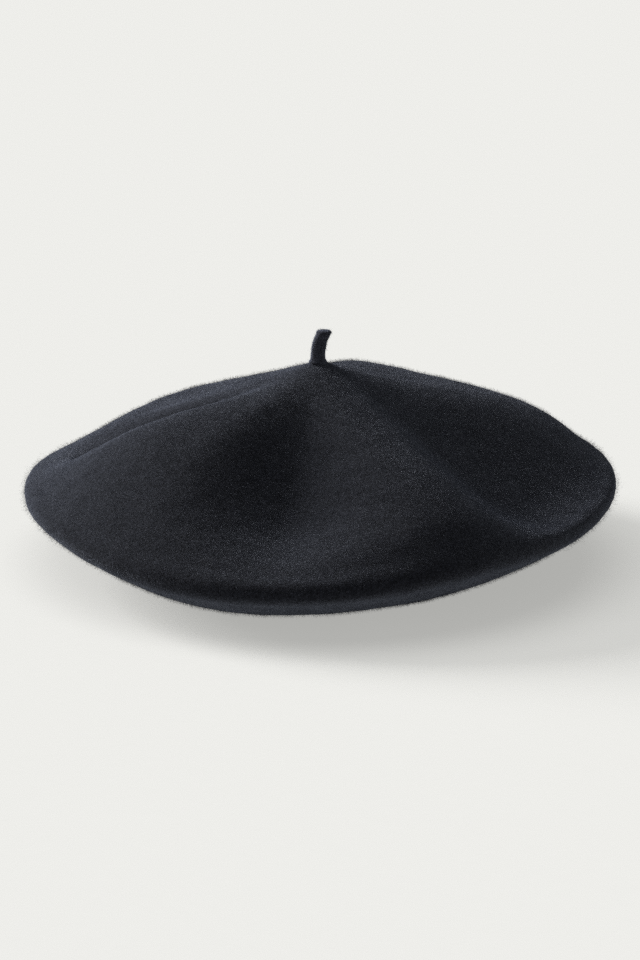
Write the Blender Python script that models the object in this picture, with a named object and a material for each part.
"""A soft wool felt beret, resting on its opening, with its stem, sweatband, drawstring and labels.

Metres, +Z up. The origin is the centre of the opening, on the plane the hem rests on.
The back of the beret, where the drawstring is tied, is towards +Y.
Azimuths are measured round +Z from +X.
"""

import math
from collections import namedtuple

import bmesh
import bpy
from mathutils import Matrix, Vector
from mathutils.geometry import interpolate_bezier

# Felt body
FELT = 0.0022  # wall thickness
CROWN_HEIGHT = 0.0950  # top of the crown above the hem, at the stem
RIM_RADIUS = 0.1400  # widest part of the crown
RIM_HEIGHT = 0.0300  # height of the widest part
SHOULDER_RADIUS = 0.1300  # where the crown starts to roll over into the rim
SHOULDER_HEIGHT = 0.0390
UNDERSIDE_RADIUS = 0.1345  # where the rim has rolled under
UNDERSIDE_HEIGHT = 0.0235
HEM_OUTER_RADIUS = 0.0825  # flat ring that rests on the table
OPENING_RADIUS = 0.0785
HEM_THICKNESS = 0.0028
STEM_HOLE_RADIUS = 0.0026
CROWN_SLOPE = math.radians(19)  # fall of the felt beside the stem
SHOULDER_SLOPE = math.radians(33)
UNDERSIDE_SLOPE = math.radians(30)
HEM_SLOPE = math.radians(16)
FELT_COLUMNS = 92

# Clearance between pieces that touch
GAP = 0.0003

# Stem
STEM_RADIUS = 0.0029
STEM_TIP_RADIUS = 0.0032
STEM_LENGTH = 0.0144  # above the crown
STEM_CURL = 0.0029  # sideways reach of the tip, towards +X
STEM_JOINT = 0.0074  # height of the upper bend above the crown
ROOT_FLANGE_RADIUS = 0.0060
ROOT_FLANGE_EDGE = 0.0008
ROOT_FLANGE_THICKNESS = 0.0014
ROOT_NECK_RADIUS = STEM_HOLE_RADIUS - 0.0004

# Sweatband
BAND_THICKNESS = 0.0008
BAND_OUTER_RADIUS = OPENING_RADIUS - GAP
BAND_BOTTOM = 0.0008
BAND_TOP = 0.0262
BAND_END_FOLD = 0.0060  # length of each end that is folded back
BACK = math.radians(90)
BAND_GAP = 0.0110  # opening between the band's ends, where the cord comes out

# Drawstring
CORD_RADIUS = 0.0011
CORD_RING_RADIUS = OPENING_RADIUS + 0.0022
CORD_HEIGHT = HEM_THICKNESS + 0.0016
KNOT_RADIUS = 0.0031
KNOT_SETBACK = 0.0066  # from the band's outer face to the knot's centre
BOW_LOOP_LENGTH = 0.0200
BOW_TAIL_LENGTH = 0.0300

# Thread
THREAD_RADIUS = 0.00028
HEM_STITCH_HEIGHT = 0.0024
CASING_STITCH_HEIGHT = 0.0086
ANCHOR_STITCHES = 8

# Labels
LABEL_THICKNESS = 0.0005
WOVEN_LABEL_WIDTH = 0.0340
WOVEN_LABEL_HEIGHT = 0.0110
WOVEN_LABEL_AZIMUTH = math.radians(-90)
CARE_LABEL_WIDTH = 0.0120
CARE_LABEL_LENGTH = 0.0135  # below the line it flips up about
CARE_LABEL_HEADER = 0.0013  # from that line up to the tack that holds the label
CARE_LABEL_AZIMUTH = math.radians(56)

# A fold is a soft wave in the crown. It runs outwards from `start` to `end` and is highest at `middle`.
# Its azimuth and its reach `before` and `after` that azimuth are in degrees. `twist` turns its line, in
# degrees for every 100 mm of radius. `crease` is 0 for a round fold and 1 for a creased one.
Fold = namedtuple("Fold", "azimuth before after height start middle end twist crease")
CROWN_FOLDS = (
    Fold(-98, 36, 44, -0.0165, 0.008, 0.088, 0.148, 0, 0.35),
    Fold(-60, 38, 24, 0.0065, 0.006, 0.119, 0.151, 20, 0.4),
    Fold(-36, 23, 50, -0.0135, 0.004, 0.107, 0.148, 0, 0),
    Fold(19, 46, 50, 0.0090, 0.012, 0.106, 0.150, 0, 0),
    Fold(66, 50, 40, 0.0060, 0.008, 0.056, 0.138, 0, 0),
    Fold(148, 34, 20, 0.0035, 0.020, 0.090, 0.138, 0, 0),
    Fold(180, 17, 16, -0.0095, 0.024, 0.096, 0.136, -24, 0),
    Fold(202, 22, 44, 0.0080, 0.014, 0.084, 0.138, -22, 0.2),
)
# The rim is higher at both sides than at the front, and the underside sags at the front left.
RIM_WAVES = (
    Fold(-3, 80, 84, 0.0085, 0, 0, 0, 0, 0),
    Fold(180, 60, 70, 0.0045, 0, 0, 0, 0, 0),
    Fold(-110, 48, 60, -0.0050, 0, 0, 0, 0, 0),
)
UNDERSIDE_SAG = Fold(-115, 45, 50, -0.0025, 0, 0, 0, 0, 0)
RIM_FADE = 6  # how fast the folds die out below the rim
CREASE_ROUNDING = 0.1  # share of a fold's reach over which its crease is rounded

Finish = namedtuple("Finish", "colour roughness metallic")
WOOL = Finish((0.012, 0.013, 0.018), 0.95, 0.0)
GROSGRAIN = Finish((0.010, 0.010, 0.013), 0.60, 0.0)
CORD = Finish((0.014, 0.014, 0.018), 0.75, 0.0)
THREAD = Finish((0.020, 0.021, 0.028), 0.55, 0.0)
SATIN = Finish((0.60, 0.58, 0.53), 0.40, 0.0)


def clear_scene():
    for obj in list(bpy.data.objects):
        bpy.data.objects.remove(obj)


def material(name, finish):
    """The Principled material of this name, made on its first use."""
    found = bpy.data.materials.get(name)
    if found:
        return found
    made = bpy.data.materials.new(name)
    made.use_nodes = True
    shader = made.node_tree.nodes["Principled BSDF"]
    shader.inputs["Base Color"].default_value = (*finish.colour, 1.0)
    shader.inputs["Roughness"].default_value = finish.roughness
    shader.inputs["Metallic"].default_value = finish.metallic
    return made


def new_object(name, mesh, made_of=None, location=(0, 0, 0)):
    obj = bpy.data.objects.new(name, mesh)
    bpy.context.scene.collection.objects.link(obj)
    obj.location = location
    if made_of:
        mesh.materials.append(made_of)
    return obj


def smooth(mesh, sharp_above=math.radians(40)):
    mesh.shade_smooth()
    mesh.set_sharp_from_angle(angle=sharp_above)


def mesh_from(name, rings, closed_rows=False):
    """A mesh over rings of points, each joined to the next. Its ends are capped unless the rows close."""
    bm = bmesh.new()
    loops = [[bm.verts.new(point) for point in ring] for ring in rings]
    pairs = list(zip(loops, loops[1:]))
    if closed_rows:
        pairs.append((loops[-1], loops[0]))
    for ring, following in pairs:
        for i in range(len(ring)):
            j = (i + 1) % len(ring)
            bm.faces.new((ring[i], ring[j], following[j], following[i]))
    if not closed_rows:
        bm.faces.new(loops[0])
        bm.faces.new(loops[-1])
    bmesh.ops.recalc_face_normals(bm, faces=bm.faces)
    mesh = bpy.data.meshes.new(name)
    bm.to_mesh(mesh)
    bm.free()
    smooth(mesh)
    return mesh


def turned(name, profile, segments=20):
    """A solid of revolution about Z from (radius, height) points, the first and last of them on the axis."""
    bm = bmesh.new()
    points = [bm.verts.new((radius, 0, height)) for radius, height in profile]
    edges = [bm.edges.new(pair) for pair in zip(points, points[1:])]
    bmesh.ops.spin(
        bm, geom=points + edges, axis=(0, 0, 1), cent=(0, 0, 0), angle=math.tau, steps=segments
    )
    bmesh.ops.remove_doubles(bm, verts=bm.verts, dist=1e-6)
    bmesh.ops.recalc_face_normals(bm, faces=bm.faces)
    mesh = bpy.data.meshes.new(name)
    bm.to_mesh(mesh)
    bm.free()
    smooth(mesh)
    return mesh


def tube_rings(path, radius, sides, closed=False):
    """Rings of points round a path. `radius` is one number, or one for each point of the path."""
    count = len(path)
    radii = [radius] * count if isinstance(radius, float) else radius
    rings = []
    across = None
    for i, point in enumerate(path):
        ahead = path[(i + 1) % count] if closed or i + 1 < count else point
        behind = path[i - 1] if closed or i else point
        along = (ahead - behind).normalized()
        if across is None:
            start = Vector((0, 0, 1)) if abs(along.z) < 0.9 else Vector((0, 1, 0))
            across = along.cross(start).normalized()
        across = (across - along * across.dot(along)).normalized()
        upwards = along.cross(across)
        turns = [math.tau * side / sides for side in range(sides)]
        rings.append(
            [point + (across * math.cos(t) + upwards * math.sin(t)) * radii[i] for t in turns]
        )
    return rings


def polar(radius, azimuth, height=0.0):
    return Vector((radius * math.cos(azimuth), radius * math.sin(azimuth), height))


# Felt body -----------------------------------------------------------------------------------------


def bump(offset, before, after, crease=0.0):
    """1 at no offset, falling smoothly to 0 at `before` on one side and at `after` on the other."""
    reach = before if offset < 0 else after
    if not reach or abs(offset) >= reach:
        return 0.0
    share = abs(offset) / reach
    soft = 0.5 + 0.5 * math.cos(math.pi * share)
    rounded = math.hypot(share, CREASE_ROUNDING) - CREASE_ROUNDING
    full = math.hypot(1, CREASE_ROUNDING) - CREASE_ROUNDING
    return (1 - crease) * soft + crease * (1 - rounded / full) ** 2


def azimuth_share(fold, azimuth, radius=0.0):
    """How much of a fold shows at this azimuth, from 0 to 1."""
    line = fold.azimuth + fold.twist * (radius - fold.middle) / 0.1
    offset = (math.degrees(azimuth) - line + 180) % 360 - 180
    return bump(offset, fold.before, fold.after, fold.crease)


def relief(azimuth, radius):
    """The height of the folds in the crown above its even shape."""
    return sum(
        fold.height
        * azimuth_share(fold, azimuth, radius)
        * bump(radius - fold.middle, fold.middle - fold.start, fold.end - fold.middle)
        for fold in CROWN_FOLDS
    )


def bezier(start, start_angle, end, end_angle, fullness, steps):
    """Points from start to end, leaving and arriving at these angles below the horizontal."""
    reach = fullness * (end - start).length
    leave = Vector((math.cos(start_angle), -math.sin(start_angle)))
    arrive = Vector((math.cos(end_angle), -math.sin(end_angle)))
    return interpolate_bezier(start, start + leave * reach, end - arrive * reach, end, steps + 1)


def even_meridian():
    """(radius, height, is on top) of the outer face, from the stem hole over the rim to the hem."""
    hole = Vector((STEM_HOLE_RADIUS, CROWN_HEIGHT - STEM_HOLE_RADIUS * math.tan(CROWN_SLOPE)))
    shoulder = Vector((SHOULDER_RADIUS, SHOULDER_HEIGHT))
    rim = Vector((RIM_RADIUS, RIM_HEIGHT))
    under = Vector((UNDERSIDE_RADIUS, UNDERSIDE_HEIGHT))
    hem = Vector((HEM_OUTER_RADIUS, 0))
    down = math.radians(90)
    inwards = math.pi - UNDERSIDE_SLOPE
    crown = bezier(hole, CROWN_SLOPE, shoulder, SHOULDER_SLOPE, 0.33, 14)
    roll_out = bezier(shoulder, SHOULDER_SLOPE, rim, down, 0.38, 3)
    roll_under = bezier(rim, down, under, inwards, 0.38, 3)
    underside = bezier(under, inwards, hem, math.pi - HEM_SLOPE, 0.33, 5)
    top = [(p.x, p.y, True) for p in crown[:-1] + roll_out]
    below = [(p.x, p.y, False) for p in roll_under[1:] + underside[1:]]
    return top + below


def shaped(radius, height, on_top, azimuth):
    """A point of the even meridian, moved to where the folds and the sag put it."""
    outwards = (radius - HEM_OUTER_RADIUS) / (RIM_RADIUS - HEM_OUTER_RADIUS)
    lift = sum(wave.height * azimuth_share(wave, azimuth) for wave in RIM_WAVES)
    if on_top:
        height += relief(azimuth, radius) + lift * (radius / RIM_RADIUS) ** 3
    else:
        sag = UNDERSIDE_SAG.height * azimuth_share(UNDERSIDE_SAG, azimuth)
        height += lift * outwards + sag * math.sin(math.pi * outwards)
        height += relief(azimuth, RIM_RADIUS) * outwards**RIM_FADE
    return polar(radius, azimuth, height)


def felt_grids():
    """Rings of the outer face and of the inner face, both from the stem hole to the hem."""
    azimuths = [math.tau * i / FELT_COLUMNS for i in range(FELT_COLUMNS)]
    outer = [[shaped(*row, azimuth) for azimuth in azimuths] for row in even_meridian()]
    inner = []
    for i, ring in enumerate(outer[:-1]):
        above = outer[max(i - 1, 0)]
        below = outer[i + 1]
        faced = []
        for j, point in enumerate(ring):
            round_the_ring = ring[(j + 1) % FELT_COLUMNS] - ring[j - 1]
            normal = (below[j] - above[j]).cross(round_the_ring).normalized()
            faced.append(point - normal * FELT)
        inner.append(faced)
    inner[0] = [polar(STEM_HOLE_RADIUS, a, p.z) for a, p in zip(azimuths, inner[0])]
    hem_corner = [polar(OPENING_RADIUS, a, 0) for a in azimuths]
    hem_lip = [polar(OPENING_RADIUS, a, HEM_THICKNESS) for a in azimuths]
    hem_top = [polar(HEM_OUTER_RADIUS, a, HEM_THICKNESS) for a in azimuths]
    return outer, [hem_corner, hem_lip, hem_top] + inner[::-1]


def build_felt_body():
    outer, inner = felt_grids()
    mesh = mesh_from("felt_body", outer + inner, closed_rows=True)
    new_object("felt_body", mesh, material("wool_felt", WOOL))


# Stem ----------------------------------------------------------------------------------------------


def felt_inner_height(radius):
    """Height of the crown's inner face close to the stem."""
    return CROWN_HEIGHT - radius * math.tan(CROWN_SLOPE) - FELT / math.cos(CROWN_SLOPE)


def stem_centre(height):
    """The stem's centre line at this height above the crown. It curls towards +X."""
    return Vector((STEM_CURL * (height / STEM_LENGTH) ** 2.2, 0, CROWN_HEIGHT + height))


def stem_radius(height):
    return STEM_RADIUS + (STEM_TIP_RADIUS - STEM_RADIUS) * (height / STEM_LENGTH) ** 2


def stem_section(name, pivot_height, top_height, rounded_tip):
    """A length of stem with a ball end at its pivot, so that it turns in place. Points are from the pivot."""
    sides = 12
    ball_rows = 4
    radius = stem_radius(pivot_height)
    pivot = stem_centre(pivot_height)
    rings = []
    for row in range(1, ball_rows + 1):
        dip = math.radians(90) * (1 - row / ball_rows)
        centre = Vector((0, 0, -radius * math.sin(dip)))
        rings.append((centre, radius * math.cos(dip)))
    steps = 4
    for step in range(1, steps + 1):
        height = pivot_height + (top_height - pivot_height) * step / steps
        rings.append((stem_centre(height) - pivot, stem_radius(height)))
    if rounded_tip:
        centre, last = rings[-1]
        rings.append((centre + Vector((0.0002, 0, 0.0007)), last * 0.72))
    turns = [math.tau * side / sides for side in range(sides)]
    points = [[centre + polar(size, t) for t in turns] for centre, size in rings]
    return mesh_from(name, points), pivot


def build_stem():
    wool = material("wool_felt", WOOL)
    neck_top = CROWN_HEIGHT
    flange_top = felt_inner_height(0) - GAP
    slope = math.tan(CROWN_SLOPE)
    root_profile = (
        (0, flange_top - ROOT_FLANGE_THICKNESS),
        (ROOT_NECK_RADIUS, flange_top - ROOT_FLANGE_THICKNESS - ROOT_NECK_RADIUS * slope * 0.5),
        (ROOT_FLANGE_RADIUS, flange_top - ROOT_FLANGE_EDGE - ROOT_FLANGE_RADIUS * slope),
        (ROOT_FLANGE_RADIUS, flange_top - ROOT_FLANGE_RADIUS * slope),
        (ROOT_NECK_RADIUS, flange_top - ROOT_NECK_RADIUS * slope),
        (ROOT_NECK_RADIUS, neck_top - 0.0004),
        (ROOT_NECK_RADIUS * 0.8, neck_top),
        (0, neck_top),
    )
    new_object("stem_root", turned("stem_root", root_profile), wool)

    lower_pivot_height = STEM_RADIUS + GAP
    upper_ball = stem_radius(STEM_JOINT)
    mesh, pivot = stem_section(
        "stem_lower", lower_pivot_height, STEM_JOINT - upper_ball - 2 * GAP, rounded_tip=False
    )
    new_object("stem_lower", mesh, wool, location=pivot)
    mesh, pivot = stem_section("stem_upper", STEM_JOINT, STEM_LENGTH - 0.0007, rounded_tip=True)
    new_object("stem_upper", mesh, wool, location=pivot)


def build_stem_anchor():
    """Whipped thread that holds the root's flange to the inside of the crown."""
    path = []
    clearance = THREAD_RADIUS + GAP
    for i in range(2 * ANCHOR_STITCHES):
        azimuth = math.pi * i / ANCHOR_STITCHES
        if i % 2:
            radius = ROOT_FLANGE_RADIUS - 0.0016
            drop = GAP + ROOT_FLANGE_THICKNESS + 0.0002
        else:
            radius = ROOT_FLANGE_RADIUS + 0.0030
            drop = 0.0003
        path.append(polar(radius, azimuth, felt_inner_height(radius) - drop - clearance))
    rings = tube_rings(path, THREAD_RADIUS, 5, closed=True)
    mesh = mesh_from("stem_anchor_stitches", rings, closed_rows=True)
    new_object("stem_anchor_stitches", mesh, material("thread", THREAD))


# Sweatband -----------------------------------------------------------------------------------------


def arc(from_azimuth, to_azimuth, steps):
    return [from_azimuth + (to_azimuth - from_azimuth) * i / steps for i in range(steps + 1)]


def curved_strip(name, azimuths, radii, low, high):
    """An upright strip that follows an arc. `radii` gives the inner and outer face at each azimuth."""
    rings = [
        [polar(inside, a, low), polar(outside, a, low), polar(outside, a, high), polar(inside, a, high)]
        for a, (inside, outside) in zip(azimuths, radii)
    ]
    return mesh_from(name, rings)


def build_sweatband():
    """A ribbon ring with its ends folded back on the inside, leaving a gap at the back for the cord."""
    half_gap = BAND_GAP / 2 / BAND_OUTER_RADIUS
    fold = BAND_END_FOLD / BAND_OUTER_RADIUS
    step = 0.0006 / BAND_OUTER_RADIUS
    start = BACK + half_gap
    end = BACK + math.tau - half_gap
    azimuths = [start, *arc(start + fold, end - fold, 70), end]
    single = (BAND_OUTER_RADIUS - BAND_THICKNESS, BAND_OUTER_RADIUS)
    double = (BAND_OUTER_RADIUS - 2 * BAND_THICKNESS, BAND_OUTER_RADIUS)
    radii = [single] * len(azimuths)
    radii[0] = radii[1] = radii[-2] = radii[-1] = double
    azimuths.insert(2, start + fold + step)
    azimuths.insert(-2, end - fold - step)
    radii.insert(2, single)
    radii.insert(-2, single)
    mesh = curved_strip("sweatband", azimuths, radii, BAND_BOTTOM, BAND_TOP)
    new_object("sweatband", mesh, material("grosgrain", GROSGRAIN))


def band_inner_radius():
    return BAND_OUTER_RADIUS - BAND_THICKNESS


def build_band_stitching(name, height):
    """One row of stitching on the inside of the band, between its folded ends."""
    margin = (BAND_GAP / 2 + BAND_END_FOLD + 0.0025) / BAND_OUTER_RADIUS
    radius = band_inner_radius() - GAP - THREAD_RADIUS
    path = [polar(radius, a, height) for a in arc(BACK + margin, BACK + math.tau - margin, 72)]
    mesh = mesh_from(name, tube_rings(path, THREAD_RADIUS, 4))
    new_object(name, mesh, material("thread", THREAD))


def build_end_tack(name, side):
    """A bar tack across the folded end of the band, on this side of the gap."""
    azimuth = BACK + side * (BAND_GAP / 2 + BAND_END_FOLD / 2) / BAND_OUTER_RADIUS
    radius = BAND_OUTER_RADIUS - 2 * BAND_THICKNESS - GAP - THREAD_RADIUS
    length = BAND_TOP - BAND_BOTTOM - 0.0060
    path = [Vector((0, 0, length * (i / 8 - 0.5))) for i in range(9)]
    mesh = mesh_from(name, tube_rings(path, THREAD_RADIUS, 5))
    middle = polar(radius, azimuth, (BAND_BOTTOM + BAND_TOP) / 2)
    new_object(name, mesh, material("thread", THREAD), location=middle)


# Drawstring ----------------------------------------------------------------------------------------


def build_drawstring():
    """The cord round the opening, between felt and band. Its ends turn in through the gap at the back."""
    turn_in = 0.0050 / CORD_RING_RADIUS
    ring = [
        polar(CORD_RING_RADIUS, a, CORD_HEIGHT)
        for a in arc(BACK + 2 * turn_in, BACK + math.tau - 2 * turn_in, 84)
    ]
    exit_y = BAND_OUTER_RADIUS - KNOT_SETBACK + KNOT_RADIUS + 0.0006

    def end(side):
        corner = polar(CORD_RING_RADIUS, BACK + side * turn_in, CORD_HEIGHT)
        mouth = Vector((-side * 0.0016, exit_y, CORD_HEIGHT + 0.0003))
        bend = Vector((mouth.x * 1.3, corner.y - 0.0012, CORD_HEIGHT))
        return [corner, bend, mouth]

    path = end(1)[::-1] + ring + end(-1)
    mesh = mesh_from("drawstring", tube_rings(path, CORD_RADIUS, 6))
    new_object("drawstring", mesh, material("cord", CORD))


def bow_loop(side):
    """A teardrop loop, from the knot out and back to it. It leans in from the band and hangs a little."""
    steps = 14
    path = []
    for i in range(steps + 1):
        t = math.pi * i / steps
        out = BOW_LOOP_LENGTH * math.sin(t)
        rise = 0.0013 * math.cos(t) + 0.0015 * math.sin(2 * t)
        inwards = -0.0004 - 0.0045 * math.sin(t) ** 2
        path.append(Vector((side * (0.0010 + out), inwards, rise - out * 0.06)))
    return path


def bow_tail(side):
    steps = 8
    path = []
    for i in range(steps + 1):
        t = i / steps
        out = side * (0.0004 + BOW_TAIL_LENGTH * 0.52 * t ** 1.15)
        inwards = -0.0010 - BOW_TAIL_LENGTH * 0.80 * t
        path.append(Vector((out, inwards, -0.0008 - 0.0022 * math.sin(math.pi / 2 * t))))
    return path


def build_drawstring_bow():
    """Knot, two loops and two tails of the cord, as one piece. Its origin is the centre of the knot."""
    centre = Vector((0, BAND_OUTER_RADIUS - KNOT_SETBACK, CORD_HEIGHT + 0.0003))
    knot_profile = [
        (KNOT_RADIUS * math.sin(math.pi * i / 6), -0.85 * KNOT_RADIUS * math.cos(math.pi * i / 6))
        for i in range(7)
    ]
    knot = turned("drawstring_bow", knot_profile, segments=12)
    bow = new_object("drawstring_bow", knot, material("cord", CORD), centre)
    arms = {
        "loop_left": bow_loop(-1),
        "loop_right": bow_loop(1),
        "tail_left": bow_tail(-1),
        "tail_right": bow_tail(1),
    }
    for name, path in arms.items():
        arm_mesh = mesh_from(name, tube_rings(path, CORD_RADIUS, 6))
        arm = new_object("joined_" + name, arm_mesh, location=centre)
        arm.hide_render = True
        arm.display_type = "WIRE"
        union = bow.modifiers.new(name, "BOOLEAN")
        union.operation = "UNION"
        union.solver = "EXACT"
        union.object = arm


# Labels --------------------------------------------------------------------------------------------


def build_woven_label():
    """A blank woven label on the inside of the band, at the front, with its stitching."""
    outer = band_inner_radius() - GAP
    inner = outer - LABEL_THICKNESS
    half = WOVEN_LABEL_WIDTH / 2 / outer
    low = (CASING_STITCH_HEIGHT + BAND_TOP - WOVEN_LABEL_HEIGHT) / 2 + 0.0006
    high = low + WOVEN_LABEL_HEIGHT
    azimuths = arc(WOVEN_LABEL_AZIMUTH - half, WOVEN_LABEL_AZIMUTH + half, 8)
    mesh = curved_strip("woven_label", azimuths, [(inner, outer)] * len(azimuths), low, high)
    new_object("woven_label", mesh, material("satin", SATIN))

    inset = 0.0012
    radius = inner - GAP - THREAD_RADIUS
    sides = arc(WOVEN_LABEL_AZIMUTH - half + inset / outer, WOVEN_LABEL_AZIMUTH + half - inset / outer, 8)
    path = [polar(radius, a, low + inset) for a in sides]
    path += [polar(radius, a, high - inset) for a in reversed(sides)]
    rings = tube_rings(path, THREAD_RADIUS, 4, closed=True)
    mesh = mesh_from("woven_label_stitching", rings, closed_rows=True)
    new_object("woven_label_stitching", mesh, material("thread", THREAD))


def build_care_label():
    """A folded tab that hangs below its tack. Its origin is on the line that it flips up about."""
    top = BAND_TOP - 0.0030
    sagitta = band_inner_radius() - math.sqrt(band_inner_radius() ** 2 - (CARE_LABEL_WIDTH / 2) ** 2)
    outer = band_inner_radius() - sagitta - GAP
    half = CARE_LABEL_WIDTH / 2
    thick = LABEL_THICKNESS / 2
    turn = Matrix.Rotation(CARE_LABEL_AZIMUTH, 3, "Z")
    bottom = -CARE_LABEL_LENGTH
    # Down the outer face, round the fold at the bottom and up the inner face.
    rows = [(thick, 0), (thick, bottom + thick), (0, bottom), (-thick, bottom + thick), (-thick, 0)]
    rings = [[turn @ Vector((x, y, z)) for x, z in rows] for y in (-half, half)]
    centre = polar(outer - thick, CARE_LABEL_AZIMUTH, top)
    new_object("care_label", mesh_from("care_label", rings), material("satin", SATIN), centre)

    radius = band_inner_radius() - sagitta - GAP - THREAD_RADIUS
    along = polar(1, CARE_LABEL_AZIMUTH + math.pi / 2)
    path = [along * (half * (i / 4 - 1)) for i in range(9)]
    mesh = mesh_from("care_label_tack", tube_rings(path, THREAD_RADIUS, 5))
    middle = polar(radius, CARE_LABEL_AZIMUTH, top + CARE_LABEL_HEADER)
    new_object("care_label_tack", mesh, material("thread", THREAD), middle)


clear_scene()
build_felt_body()
build_stem()
build_stem_anchor()
build_sweatband()
build_band_stitching("hem_stitching", HEM_STITCH_HEIGHT)
build_band_stitching("casing_stitching", CASING_STITCH_HEIGHT)
build_end_tack("band_tack_left", 1)
build_end_tack("band_tack_right", -1)
build_drawstring()
build_drawstring_bow()
build_woven_label()
build_care_label()
